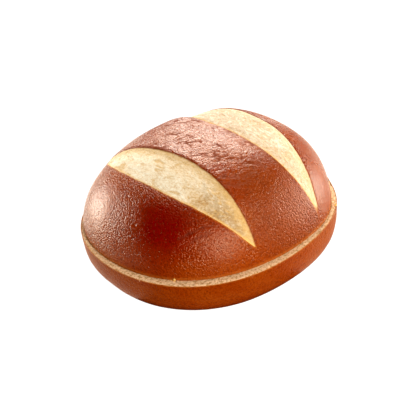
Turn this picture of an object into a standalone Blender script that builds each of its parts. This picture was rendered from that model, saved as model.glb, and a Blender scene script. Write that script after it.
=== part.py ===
"""A pretzel burger bun, sliced level into two pieces that lie together.

The heel is the low bottom piece, and its cut face shows as a narrow ledge round the
crown. The crown is the domed top piece, scored by two parallel slashes that opened in
the oven. X runs across the slashes, Y along them, and Z up. The origin is the middle
of the underside, where the bun rests.
"""

import math

import bmesh
import bpy

# Overall sizes, in metres
LENGTH = 0.110          # across the slashes, the way the dough opened
WIDTH = 0.103           # along the slashes
HEEL_HEIGHT = 0.0155
CROWN_HEIGHT = 0.0345   # from the cut face to the top of the dome
SLICE_GAP = 0.0003      # air between the two cut faces

# The outline, as gentle waves on an ellipse: waves round the rim, height, phase
OUTLINE_WAVES = ((3, 0.0112, 0.46), (4, 0.0110, math.pi))
OUTLINE_SAMPLES = 720

# The heel
HEEL_SOLE = 0.87        # width of the flat underside, as a share of the heel
HEEL_ROUNDNESS = 2.4    # 2 is a round edge, more is squarer
HEEL_SPOKES = 112
HEEL_RINGS = 9
SOLE_WAVES = ((5, 0.006, 0.4), (7, 0.004, 2.0))

# The crown
RIM_INSET = 0.0018      # the crown baked a little narrower than the heel
CROWN_OFFSET = (0.0006, 0.0016)
CROWN_LEAN = (0.0030, -0.0036)   # how far the top stands off the middle of the rim
DOME_SHOULDER = 2.5     # 2 is a round shoulder, more is fuller
DOME_RIM = 1.75         # how upright the dome leaves the rim
CROWN_CELLS = 58        # squares across the dome

# The slashes. Each opened as a lens whose two tips lie on a line along Y.
SLASH_HALF_LENGTH = 0.043
SLASH_TAPER = 0.8       # 1 is a parabola, less is blunter
SLASH_SINK = 0.0020     # the crust dips to the near edge
SLASH_LIP = 0.00145     # and stands up as a lip along the far edge
SLASH_BULGE = 0.0012    # the crumb swells between the two
DIP_REACH = 0.007
LIP_REACH = 0.008
LIP_WALL = 0.0022       # width of the slope from the crumb up to the lip
HAIR = 1e-6             # a point this close to an edge is on it
# Place of the tips' line in X and its middle in Y, then how far the near and the
# far edge bow away from that line
SLASHES = (
    (-0.0175, -0.0022, 0.0147, 0.0000),
    (0.0170, -0.0034, 0.0063, 0.0096),
)

CRUST_COLOUR = (0.26, 0.055, 0.012, 1.0)
HEEL_COLOUR = (0.32, 0.085, 0.018, 1.0)
CRUMB_COLOUR = (0.87, 0.70, 0.42, 1.0)


def clear_scene():
    for thing in list(bpy.data.objects):
        bpy.data.objects.remove(thing, do_unlink=True)


def material(name, colour, roughness):
    made = bpy.data.materials.new(name)
    made.use_nodes = True
    shader = made.node_tree.nodes["Principled BSDF"]
    shader.inputs["Base Color"].default_value = colour
    shader.inputs["Roughness"].default_value = roughness
    shader.inputs["Metallic"].default_value = 0.0
    made.diffuse_color = colour
    return made


def wave(waves, angle):
    """How far a wavy outline stands off its ellipse, as a share of the radius."""
    return sum(height * math.cos(count * angle + phase) for count, height, phase in waves)


def raw_outline(angle):
    reach = 1 + wave(OUTLINE_WAVES, angle)
    return LENGTH / 2 * math.cos(angle) * reach, WIDTH / 2 * math.sin(angle) * reach


def outline_fit():
    """What centres the wavy outline on the origin and brings it to full size."""
    turns = [2 * math.pi * i / OUTLINE_SAMPLES for i in range(OUTLINE_SAMPLES)]
    xs, ys = zip(*(raw_outline(angle) for angle in turns))
    middle = ((max(xs) + min(xs)) / 2, (max(ys) + min(ys)) / 2)
    stretch = (LENGTH / (max(xs) - min(xs)), WIDTH / (max(ys) - min(ys)))
    return middle, stretch


OUTLINE_MIDDLE, OUTLINE_STRETCH = outline_fit()


def heel_point(angle, share, height):
    """A point of the heel's side: share is 1 on the full outline and 0 in the middle."""
    x, y = raw_outline(angle)
    return (
        (x - OUTLINE_MIDDLE[0]) * OUTLINE_STRETCH[0] * share,
        (y - OUTLINE_MIDDLE[1]) * OUTLINE_STRETCH[1] * share,
        height,
    )


def heel_level(level):
    """Height and share of the outline at a level from 0, the sole, to 1, the cut."""
    turn = level * math.pi / 2
    rise = math.sin(turn) ** (2 / HEEL_ROUNDNESS)
    drop = math.cos(turn) ** (2 / HEEL_ROUNDNESS)
    return HEEL_HEIGHT * (1 - drop), HEEL_SOLE + (1 - HEEL_SOLE) * rise


def build_heel(collection, crust, crumb):
    """A plain drum is cut into levels, and each level is set on the bun's outline."""
    mesh = bmesh.new()
    bmesh.ops.create_cone(
        mesh, cap_ends=True, segments=HEEL_SPOKES, radius1=1, radius2=1, depth=1
    )
    upright = [e for e in mesh.edges if abs(e.verts[0].co.z - e.verts[1].co.z) > 0.5]
    bmesh.ops.subdivide_edges(mesh, edges=upright, cuts=HEEL_RINGS - 1)
    for v in mesh.verts:
        level = v.co.z + 0.5
        angle = math.atan2(v.co.y, v.co.x)
        height, share = heel_level(level)
        uneven = 1 + wave(SOLE_WAVES, angle) * (1 - level)
        v.co = heel_point(angle, share * uneven, height)
    lowest_cut = HEEL_HEIGHT - SLICE_GAP / 2
    finish_solid(mesh, "heel", collection, crust, crumb, lambda c: c.z > lowest_cut)


def slash_edges(slash, y):
    """The near and the far edge at a place along the slash, and how open it is there."""
    line, middle, near_bow, far_bow = slash
    along = (y - middle) / SLASH_HALF_LENGTH
    opened = max(0.0, 1 - along * along) ** SLASH_TAPER
    return line - near_bow * opened, line + far_bow * opened, opened


def slash_relief(slash, x, y):
    """Height that a slash adds to the dome: dip, swollen crumb, lip."""
    near, far, opened = slash_edges(slash, y)
    if x <= near + HAIR:
        return -SLASH_SINK * opened * math.exp((x - near) / DIP_REACH)
    if x >= far - HAIR:
        return SLASH_LIP * opened * math.exp((far - x) / LIP_REACH)
    across = (x - near) / (far - near)
    swell = SLASH_BULGE * 4 * across * (1 - across)
    wall = SLASH_LIP * max(0.0, 1 - (far - x) / LIP_WALL)
    return (swell + wall - SLASH_SINK * (1 - across)) * opened


def in_a_slash(x, y):
    for slash in SLASHES:
        near, far, _ = slash_edges(slash, y)
        if near < x < far:
            return True
    return False


def square_to_disc(u, v):
    """Bends a square of side 2 into the unit disc, so that its rows keep their run."""
    return u * math.sqrt(1 - v * v / 2), v * math.sqrt(1 - u * u / 2)


def crown_drawing(u, v):
    """Where a point of the flat drawing of the crown lies, as metres from its middle."""
    p, q = square_to_disc(u, v)
    radius = math.hypot(p, q)
    spread = math.sin(min(radius, 1.0) * math.pi / 2) / radius if radius > 0 else 0.0
    return p * spread * (LENGTH / 2 - RIM_INSET), q * spread * (WIDTH / 2 - RIM_INSET)


def crown_point(x, y):
    """Lifts a point of the flat drawing onto the dome."""
    half_length = LENGTH / 2 - RIM_INSET
    half_width = WIDTH / 2 - RIM_INSET
    radius = min(1.0, math.hypot(x / half_length, y / half_width))
    angle = math.atan2(y / half_width, x / half_length)
    rise = max(0.0, 1 - radius ** DOME_SHOULDER) ** (1 / DOME_RIM)
    relief = sum(slash_relief(slash, x, y) for slash in SLASHES) * min(1.0, 4 * rise)
    wavy = 1 + wave(OUTLINE_WAVES, angle) * radius ** 2
    lean = 1 - radius ** 2
    rim_x = (x * wavy - OUTLINE_MIDDLE[0]) * OUTLINE_STRETCH[0] + CROWN_OFFSET[0]
    rim_y = (y * wavy - OUTLINE_MIDDLE[1]) * OUTLINE_STRETCH[1] + CROWN_OFFSET[1]
    height = HEEL_HEIGHT + SLICE_GAP + CROWN_HEIGHT * rise + relief
    return rim_x + CROWN_LEAN[0] * lean, rim_y + CROWN_LEAN[1] * lean, height


def rows_of(mesh):
    """The grid's inner points, row by row."""
    rows = {}
    for v in mesh.verts:
        if not v.is_boundary:
            rows.setdefault(round(v.co.y, 5), []).append(v)
    return rows.values()


def slide_onto_edges(rows):
    """In each row the point nearest to a slash's edge slides onto it, for a clean line."""
    on_edge = set()
    for row in rows:
        for slash in SLASHES:
            for side in (0, 1):
                gaps = [(abs(slash_edges(slash, v.co.y)[side] - v.co.x), v) for v in row]
                nearest = min(gaps, key=lambda pair: pair[0])[1]
                edges = slash_edges(slash, nearest.co.y)
                if edges[2] > 0:
                    nearest.co.x = edges[side]
                    on_edge.add(nearest)
    return on_edge


def split_along_edges(mesh, on_edge):
    """A square with two opposite corners on a slash's edge is split along the edge."""
    for face in list(mesh.faces):
        corners = list(face.verts)
        marks = [v in on_edge for v in corners]
        if len(corners) == 4 and marks in ([True, False] * 2, [False, True] * 2):
            first = marks.index(True)
            bmesh.utils.face_split(face, corners[first], corners[first + 2])


def build_crown(collection, crust, crumb):
    """A square grid is bent into a disc, drawn on, and lifted into the dome."""
    mesh = bmesh.new()
    bmesh.ops.create_grid(mesh, x_segments=CROWN_CELLS, y_segments=CROWN_CELLS, size=1)
    rows = rows_of(mesh)
    for v in mesh.verts:
        v.co = (*crown_drawing(v.co.x, v.co.y), 0)
    split_along_edges(mesh, slide_onto_edges(rows))
    for face in mesh.faces:
        middle = face.calc_center_median()
        face.material_index = 1 if in_a_slash(middle.x, middle.y) else 0
    for v in mesh.verts:
        v.co = crown_point(v.co.x, v.co.y)
    rim = [e for e in mesh.edges if e.is_boundary]
    bmesh.ops.contextual_create(mesh, geom=rim)
    highest_cut = HEEL_HEIGHT + 2 * SLICE_GAP
    finish_solid(mesh, "crown", collection, crust, crumb, lambda c: c.z < highest_cut)


def finish_solid(mesh, name, collection, crust, crumb, is_cut):
    """Marks the flat cut face as crumb and makes the mesh an object of its own."""
    for face in mesh.faces:
        if len(face.verts) > 4 and is_cut(face.calc_center_median()):
            face.material_index = 1
    bmesh.ops.recalc_face_normals(mesh, faces=mesh.faces)
    data = bpy.data.meshes.new(name)
    mesh.to_mesh(data)
    mesh.free()
    data.materials.append(crust)
    data.materials.append(crumb)
    data.shade_smooth()
    data.set_sharp_from_angle(angle=math.radians(50))
    collection.objects.link(bpy.data.objects.new(name, data))


def main():
    clear_scene()
    bun = bpy.data.collections.new("pretzel burger bun")
    bpy.context.scene.collection.children.link(bun)
    crumb = material("crumb", CRUMB_COLOUR, 0.85)
    build_heel(bun, material("heel crust", HEEL_COLOUR, 0.42), crumb)
    build_crown(bun, material("crown crust", CRUST_COLOUR, 0.32), crumb)


main()
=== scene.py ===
# %% [markdown]
# # A pretzel burger bun
#
# A pretzel bun is dipped in lye before it is baked, so it has a dark, glossy, leathery
# crust. Two slashes opened in the oven and show the pale crumb. Then the bun was sliced
# level: the heel is the low bottom piece, and the crown lies on it.
#
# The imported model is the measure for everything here. It is loaded first, and each piece
# below takes the place of one of its two solids.

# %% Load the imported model
import math

import bmesh
import bpy
from mathutils import Matrix, Vector, noise


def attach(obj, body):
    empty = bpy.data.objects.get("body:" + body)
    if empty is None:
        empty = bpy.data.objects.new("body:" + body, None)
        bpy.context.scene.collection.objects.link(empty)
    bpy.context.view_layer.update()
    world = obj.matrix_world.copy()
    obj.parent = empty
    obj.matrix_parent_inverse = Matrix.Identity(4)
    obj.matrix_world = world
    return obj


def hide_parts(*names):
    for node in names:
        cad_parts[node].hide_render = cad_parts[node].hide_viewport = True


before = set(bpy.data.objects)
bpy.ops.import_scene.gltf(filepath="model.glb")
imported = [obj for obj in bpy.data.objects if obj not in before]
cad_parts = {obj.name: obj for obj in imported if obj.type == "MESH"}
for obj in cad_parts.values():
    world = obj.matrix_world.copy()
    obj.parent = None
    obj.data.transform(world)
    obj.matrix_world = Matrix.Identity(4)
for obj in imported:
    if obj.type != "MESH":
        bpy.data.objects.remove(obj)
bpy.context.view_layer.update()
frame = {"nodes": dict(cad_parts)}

MM = 0.001
print("solids:", ", ".join(frame["nodes"]))

# %% [markdown]
# ## The outline
#
# Seen from above the bun is almost an oval. Its edge wanders a little, as dough does, so
# the oval gets two gentle waves: three and four swells on the way round. The wavy outline
# is then moved and stretched to the exact length and width of the solid.

# %% The outline
LENGTH = 110 * MM         # across the slashes
WIDTH = 103 * MM          # along the slashes
# For each wave: how many on the way round, height as a share of the radius, phase
OUTLINE_WAVES = ((3, 0.0112, 0.46), (4, 0.0110, math.pi))
OUTLINE_SAMPLES = 720


def wave(waves, angle):
    """How far a wavy outline stands off its oval, as a share of the radius."""
    return sum(height * math.cos(count * angle + phase) for count, height, phase in waves)


def raw_outline(angle):
    reach = 1 + wave(OUTLINE_WAVES, angle)
    return LENGTH / 2 * math.cos(angle) * reach, WIDTH / 2 * math.sin(angle) * reach


def outline_fit():
    """What centres the wavy outline on the origin and brings it to full size."""
    turns = [2 * math.pi * i / OUTLINE_SAMPLES for i in range(OUTLINE_SAMPLES)]
    xs, ys = zip(*(raw_outline(angle) for angle in turns))
    middle = ((max(xs) + min(xs)) / 2, (max(ys) + min(ys)) / 2)
    stretch = (LENGTH / (max(xs) - min(xs)), WIDTH / (max(ys) - min(ys)))
    return middle, stretch


OUTLINE_MIDDLE, OUTLINE_STRETCH = outline_fit()
print("outline moved by", [round(m / MM, 2) for m in OUTLINE_MIDDLE], "mm")

# %% [markdown]
# ## Bulges in the two edges
#
# Heel and crown didn't bake alike. Here and there one of them bulges out or draws in by
# about a millimetre. A short list of such places is easier to read than one more wave.

# %% Bulges in the two edges
# For each place: its direction and spread in degrees, and how far out it stands
HEEL_BULGES = ((-30, 15, -1.5 * MM), (-62, 18, 0.4 * MM))
CROWN_BULGES = ((-80, 26, 1.2 * MM), (-64, 14, 0.9 * MM), (-38, 12, -0.7 * MM))
BULGE_POWER = 6           # how fast a bulge dies away from the edge to the middle


def bulge(bulges, angle):
    """How far an edge stands off the smooth outline in a direction."""
    total = 0.0
    for at, spread, out in bulges:
        off = (math.degrees(angle) - at + 180) % 360 - 180
        total += out * math.exp(-(off / spread) ** 2)
    return total


for at, _, _ in CROWN_BULGES:
    print(f"the crown stands {bulge(CROWN_BULGES, math.radians(at)) / MM:.1f} mm out at {at} degrees")

# %% [markdown]
# ## The slashes
#
# Each slash opened as a lens. On the near side the crust sinks to a thin, flush edge. On
# the far side it lifts off as a lip. The two edges are functions of the place along the
# slash, so the crust can be cut on them and the crumb can be laid between them. A little
# noise keeps the knife's line from being perfect.

# %% The slashes
SLASH_HALF_LENGTH = 43 * MM
SLASH_TAPER = 0.8         # 1 is a parabola, less is blunter
EDGE_WANDER = 0.16 * MM
WANDER_RUN = 5 * MM
# Place of the tips' line in X and its middle in Y, then the near and the far edge: how
# far each bows away from that line, and how much more towards the back than the front
SLASHES = (
    (-17.5 * MM, -2.2 * MM, (14.7 * MM, 0.9 * MM), (0.3 * MM, -0.9 * MM)),
    (17.0 * MM, -3.4 * MM, (6.3 * MM, -1.9 * MM), (9.6 * MM, 0.0 * MM)),
)


def clear_of_tips(opened):
    """0 at the tips of a slash, 1 as soon as it is a third open."""
    return min(1.0, 3 * opened)


def slash_edges(slash, y):
    """The near and the far edge at a place along the slash, and how open it is there."""
    line, middle, (near_bow, near_skew), (far_bow, far_skew) = slash
    along = (y - middle) / SLASH_HALF_LENGTH
    opened = max(0.0, 1 - along * along) ** SLASH_TAPER
    if opened == 0:
        return line, line, 0.0
    wander = EDGE_WANDER * clear_of_tips(opened)
    near = line - (near_bow + near_skew * along) * opened
    far = line + (far_bow + far_skew * along) * opened
    # The last number picks a row of the noise, so that the two edges wander apart
    near += wander * noise.noise(Vector((line / MM, y / WANDER_RUN, 1.0)))
    far += wander * noise.noise(Vector((line / MM, y / WANDER_RUN, 7.0)))
    return near, far, opened


def in_a_slash(x, y):
    for slash in SLASHES:
        near, far, _ = slash_edges(slash, y)
        if near < x < far:
            return True
    return False


for slash in SLASHES:
    near, far, _ = slash_edges(slash, slash[1])
    print(f"a slash opens {(far - near) / MM:.1f} mm wide")

# %% [markdown]
# ## Dip and lip
#
# Beside a slash the crust leaves the smooth dome. Both steps are strongest at the edge
# and die away from it, so they are worked out as heights to add to the dome. The very
# edge of the lip curls down again, as a dried skin does.

# %% Dip and lip
SLASH_SINK = 2.0 * MM
DIP_REACH = 7 * MM
LIP_CURL = 0.26 * MM
CURL_REACH = 0.9 * MM
HAIR = 1e-9               # a point this close to an edge is on it
# In each slash: how high the lip stands, how far back it slopes, how wide the climb to it
LIPS = ((1.45 * MM, 8.0 * MM, 2.4 * MM), (1.85 * MM, 5.5 * MM, 9.0 * MM))


def lip_of(slash):
    return LIPS[SLASHES.index(slash)]


def crust_step(slash, x, y):
    """How far a slash sinks or lifts the crust beside it."""
    near, far, opened = slash_edges(slash, y)
    lip, lip_reach, _ = lip_of(slash)
    if abs(x - near) + abs(x - far) > abs(far - near) + HAIR or opened == 0:
        if x < near:
            return -SLASH_SINK * opened * math.exp((x - near) / DIP_REACH)
        curl = LIP_CURL * max(0.0, 1 - (x - far) / CURL_REACH) ** 2 * clear_of_tips(opened)
        return lip * opened * math.exp((far - x) / lip_reach) - curl
    if x - near < far - x:
        return -SLASH_SINK * opened
    return lip * opened - LIP_CURL


for slash in SLASHES:
    behind = slash_edges(slash, slash[1])[1] + CURL_REACH
    print(f"behind its lip the crust is {crust_step(slash, behind, slash[1]) / MM:.1f} mm up")

# %% [markdown]
# ## The dome
#
# The crown is a dome with full shoulders and an almost upright rim. It could be sculpted,
# but a formula is exact and repeatable: it takes a place on a flat drawing of the crown
# and gives the point above it. The top leans a little off the middle, and a few knolls
# and hollows take the evenness out of it.

# %% The dome
HEEL_HEIGHT = 15.5 * MM
CROWN_HEIGHT = 34.5 * MM
SLICE_GAP = 0.3 * MM
CUT = HEEL_HEIGHT + SLICE_GAP
RIM_INSET = 1.8 * MM
CROWN_OFFSET = (0.9 * MM, 1.9 * MM)
CROWN_LEAN = (3.0 * MM, -3.6 * MM)
DOME_SHOULDER = 2.5       # 2 is a round shoulder, more is fuller
DOME_RIM = 1.75           # how upright the dome leaves the rim
STEP_FADE = 4             # steps fade out over the lowest quarter of the dome
HALF_LENGTH = LENGTH / 2 - RIM_INSET
HALF_WIDTH = WIDTH / 2 - RIM_INSET
# Knolls and hollows of the baked dome: place on the drawing, reach, height
KNOLLS = (
    (10.0 * MM, 26.0 * MM, 6.0 * MM, 1.1 * MM),
    (21.0 * MM, 29.5 * MM, 6.0 * MM, -2.7 * MM),
    (24.5 * MM, 21.0 * MM, 5.0 * MM, -0.5 * MM),
    (12.0 * MM, 11.0 * MM, 6.0 * MM, -0.4 * MM),
    (33.0 * MM, -12.0 * MM, 16.0 * MM, -0.4 * MM),
    (31.5 * MM, -3.0 * MM, 6.5 * MM, -0.7 * MM),
)


def knoll(x, y):
    return sum(
        height * math.exp(-((x - at_x) ** 2 + (y - at_y) ** 2) / reach ** 2)
        for at_x, at_y, reach, height in KNOLLS
    )


def drawn_radius(x, y):
    """0 in the middle of the flat drawing, 1 on its rim."""
    return min(1.0, math.hypot(x / HALF_LENGTH, y / HALF_WIDTH))


def dome_point(x, y, step=0.0):
    """Lifts a place of the flat drawing onto the dome, and a step higher or lower."""
    step += knoll(x, y)
    radius = drawn_radius(x, y)
    angle = math.atan2(y / HALF_WIDTH, x / HALF_LENGTH)
    rise = max(0.0, 1 - radius ** DOME_SHOULDER) ** (1 / DOME_RIM)
    wavy = 1 + wave(OUTLINE_WAVES, angle) * radius ** 2
    lean = 1 - radius ** 2
    rim_x = (x * wavy - OUTLINE_MIDDLE[0]) * OUTLINE_STRETCH[0] + CROWN_OFFSET[0]
    rim_y = (y * wavy - OUTLINE_MIDDLE[1]) * OUTLINE_STRETCH[1] + CROWN_OFFSET[1]
    out = bulge(CROWN_BULGES, angle) * radius ** BULGE_POWER
    return Vector((
        rim_x + CROWN_LEAN[0] * lean + out * math.cos(angle),
        rim_y + CROWN_LEAN[1] * lean + out * math.sin(angle),
        CUT + CROWN_HEIGHT * rise + step * min(1.0, STEP_FADE * rise),
    ))


def dome_frame(x, y):
    """The directions across the slashes and out of the dome at a place of the drawing."""
    step = 0.2 * MM
    across = (dome_point(x + step, y) - dome_point(x - step, y)).normalized()
    along = (dome_point(x, y + step) - dome_point(x, y - step)).normalized()
    return across, across.cross(along).normalized()


print("top of the dome:", round(dome_point(0, 0).z / MM, 1), "mm")

# %% [markdown]
# ## What makes a mesh a piece
#
# Every piece ends the same way. The bmesh becomes an object at the origin, gets its
# material, rides on the one body and stands in for its solid.

# %% A helper for finished pieces
SHARP_ANGLE = math.radians(60)
WELD = 1e-6               # points this close become one


def finished_piece(mesh, name, material, node):
    data = bpy.data.meshes.new(name)
    mesh.to_mesh(data)
    mesh.free()
    data.materials.append(material)
    data.shade_smooth()
    data.set_sharp_from_angle(angle=SHARP_ANGLE)
    piece = bpy.data.objects.new(name, data)
    bpy.context.scene.collection.objects.link(piece)
    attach(piece, "root")
    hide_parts(node)
    triangles = sum(len(face.vertices) - 2 for face in data.polygons)
    print(f"{name}: {triangles} triangles")


# %% [markdown]
# ## A small language for materials
#
# A material is a tree of nodes, and its arithmetic is easier to read as Python. `Number`
# wraps one socket and turns + - * and ** into Math nodes. `Finish` holds the tree, and
# one method adds any node.

# %% The material helpers
class Number:
    """A number that changes over a surface."""

    def __init__(self, finish, socket):
        self.finish = finish
        self.socket = socket

    def __add__(self, other):
        return self.finish.maths("ADD", self, other)

    def __radd__(self, other):
        return self.finish.maths("ADD", other, self)

    def __sub__(self, other):
        return self.finish.maths("SUBTRACT", self, other)

    def __rsub__(self, other):
        return self.finish.maths("SUBTRACT", other, self)

    def __mul__(self, other):
        return self.finish.maths("MULTIPLY", self, other)

    def __rmul__(self, other):
        return self.finish.maths("MULTIPLY", other, self)

    def __pow__(self, power):
        return self.finish.maths("POWER", self, power)


class Finish:
    """A material with one Principled shader and the nodes that feed it."""

    def __init__(self, name):
        self.material = bpy.data.materials.new(name)
        self.material.use_nodes = True
        self.tree = self.material.node_tree
        self.shader = self.tree.nodes["Principled BSDF"]
        self.place = self.node("ShaderNodeTexCoord").outputs["Object"]

    def node(self, kind, settings=None, inputs=None):
        """Adds a node: its settings first, then the values or links of its sockets."""
        made = self.tree.nodes.new(kind)
        for key, value in (settings or {}).items():
            setattr(made, key, value)
        for key, value in (inputs or {}).items():
            self.feed(made.inputs[key], value)
        return made

    def feed(self, socket, value):
        """Links a value that changes, and sets one that doesn't."""
        if isinstance(value, Number):
            value = value.socket
        if isinstance(value, bpy.types.NodeSocket):
            self.tree.links.new(value, socket)
        else:
            socket.default_value = value

    def maths(self, operation, *values):
        made = self.node("ShaderNodeMath", {"operation": operation}, dict(enumerate(values)))
        return Number(self, made.outputs[0])

    def share(self, value, low, high):
        """0 where the value is low, 1 where it is high, and smooth between."""
        made = self.node(
            "ShaderNodeMapRange",
            {"interpolation_type": "SMOOTHSTEP"},
            {"Value": value, "From Min": low, "From Max": high},
        )
        return Number(self, made.outputs["Result"])

    def fall(self, value, low, high):
        """1 where the value is low, 0 where it is high, and smooth between."""
        return 1 - self.share(value, low, high)

    def line(self, value, core, width):
        """1 on the thin lines where a value passes zero, 0 away from them."""
        return self.fall(self.maths("ABSOLUTE", value), core, width)

    def noise(self, size, detail=2.0, roughness=0.5, place=None, warp=0.0):
        """A cloudy pattern whose largest clouds are of the size."""
        made = self.node("ShaderNodeTexNoise", None, {
            "Vector": place or self.place, "Scale": 1 / size, "Detail": detail,
            "Roughness": roughness, "Distortion": warp,
        })
        return Number(self, made.outputs["Fac"])

    def cells(self, size, smooth):
        """How far each point is from the middle of its cell."""
        made = self.node(
            "ShaderNodeTexVoronoi",
            {"feature": "SMOOTH_F1"},
            {"Vector": self.place, "Scale": 1 / size, "Smoothness": smooth},
        )
        return Number(self, made.outputs["Distance"])

    def turned(self, turn, scale):
        """Object coordinates turned about Z and squeezed, for a pattern with a run."""
        made = self.node("ShaderNodeMapping", {"vector_type": "TEXTURE"}, {
            "Vector": self.place, "Rotation": (0, 0, turn), "Scale": scale,
        })
        return made.outputs["Vector"]

    def up(self):
        """The height above the sole."""
        made = self.node("ShaderNodeSeparateXYZ", None, {0: self.place})
        return Number(self, made.outputs["Z"])

    def distance(self, centre):
        made = self.node(
            "ShaderNodeVectorMath", {"operation": "DISTANCE"}, {0: self.place, 1: centre}
        )
        return Number(self, made.outputs["Value"])

    def attribute(self, name):
        """A number that the mesh carries."""
        made = self.node("ShaderNodeAttribute", {"attribute_name": name})
        return Number(self, made.outputs["Fac"])

    def mix(self, share, low, high):
        """One colour where the share is 0, another where it is 1."""
        made = self.node(
            "ShaderNodeMix", {"data_type": "RGBA"}, {0: share, 6: low, 7: high}
        )
        return made.outputs[2]

    def shaded(self, share, colour, tint):
        """The colour itself where the share is 0, multiplied by the tint where it is 1."""
        made = self.node(
            "ShaderNodeMix", {"data_type": "RGBA", "blend_type": "MULTIPLY"},
            {0: share, 6: colour, 7: tint},
        )
        return made.outputs[2]

    def surface(self, colour, roughness, height=None, **constants):
        """Feeds the shader. The height is in metres."""
        self.feed(self.shader.inputs["Base Color"], colour)
        self.feed(self.shader.inputs["Roughness"], roughness)
        for name, value in constants.items():
            self.shader.inputs[name.replace("_", " ")].default_value = value
        if height is not None:
            bump = self.node("ShaderNodeBump", None, {"Height": height, "Distance": 1.0})
            self.feed(self.shader.inputs["Normal"], bump.outputs["Normal"])
        print("finish:", self.material.name, "with", len(self.tree.nodes), "nodes")
        return self.material


# %% [markdown]
# ## The crust finish
#
# Lye and heat give three browns: orange-brown near the rim, chestnut on the lobes and a
# deep maroon on the shoulder, partly from the hardest bake and partly painted shade where
# the shoulder faces away from the lights. The left flank is a lighter orange, partly its own
# colour and partly painted light from the left. They pass softly into each other, so
# they are mixed by the distance from a few places, with noise to make the borders wander.
# The skin is leathery: fine pimples on the flanks and longer wrinkles on top, which break
# the gloss into sparkles. The crevices between the pimples, the wrinkles and the creases
# get painted shade. Beside a slash the edge is golden, and a lip is toasted dark. Where the
# rim meets the cut it is paler, partly its own golden tone and partly painted light.

# %% The colours and places of the crust
ORANGE_BROWN = (0.32, 0.063, 0.006, 1)
CHESTNUT = (0.27, 0.039, 0.004, 1)
# Deep red and maroon: partly the hardest bake, partly painted shade on the shoulder that faces away
# from the lights
DEEP_RED = (0.22, 0.020, 0.002, 1)
MAROON = (0.19, 0.004, 0.001, 1)
# A lighter orange for the left flank: partly its own colour, partly painted light from the left
MAHOGANY = (0.35, 0.073, 0.009, 1)
RUSSET = (0.21, 0.037, 0.005, 1)
# Painted shade along the wrinkles, in a warm dark brown
WRINKLE_SHADE = (0.17, 0.026, 0.004, 1)
LIP_GOLD = (0.44, 0.14, 0.025, 1)
LIP_BROWN = (0.24, 0.036, 0.003, 1)
# The rim's golden tone, partly its own and partly painted light that lifts the shade under the rim
RIM_GOLD_AND_PAINTED_LIGHT = (0.46, 0.15, 0.030, 1)
# The tint for painted shade in crevices and creases, and for the darker random speckle
CREVICE_SHADE_AND_SPECKLE = (0.45, 0.22, 0.14, 1)      # what a crevice leaves of the colour round it
BAKED_AND_SHADED_SHOULDER = (-0.041, -0.015, 0.035)
LEATHERY_LIT_FLANK = (-0.044, 0.012, 0.033)
RUSSET_FRONT = (0.006, -0.041, 0.034)
CALM_FRONT = (-0.002, -0.040, 0.036)
# Places where the skin stretched smooth as the bun grew: where they begin and end to
# fade, and how much of the relief they keep
SMOOTH_PLACES = (
    ((-0.0415, 0.0200, 0.0320), 0.006, 0.015, 0.40),
    ((0.0260, -0.0395, 0.0280), 0.007, 0.015, 0.20),
    ((-0.0280, -0.0370, 0.0290), 0.005, 0.015, 0.45),
)
WRINKLE_SLANT = (0.75, -0.66)        # the way the wrinkles run, across the slashes
GRAIN_HEIGHT = 0.00018
PIMPLE_DEPTH = 0.00022
WRINKLE_HEIGHT = 0.00015
LINE_DEPTH = 0.00010
print("smooth places in the crust:", len(SMOOTH_PLACES))


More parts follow.
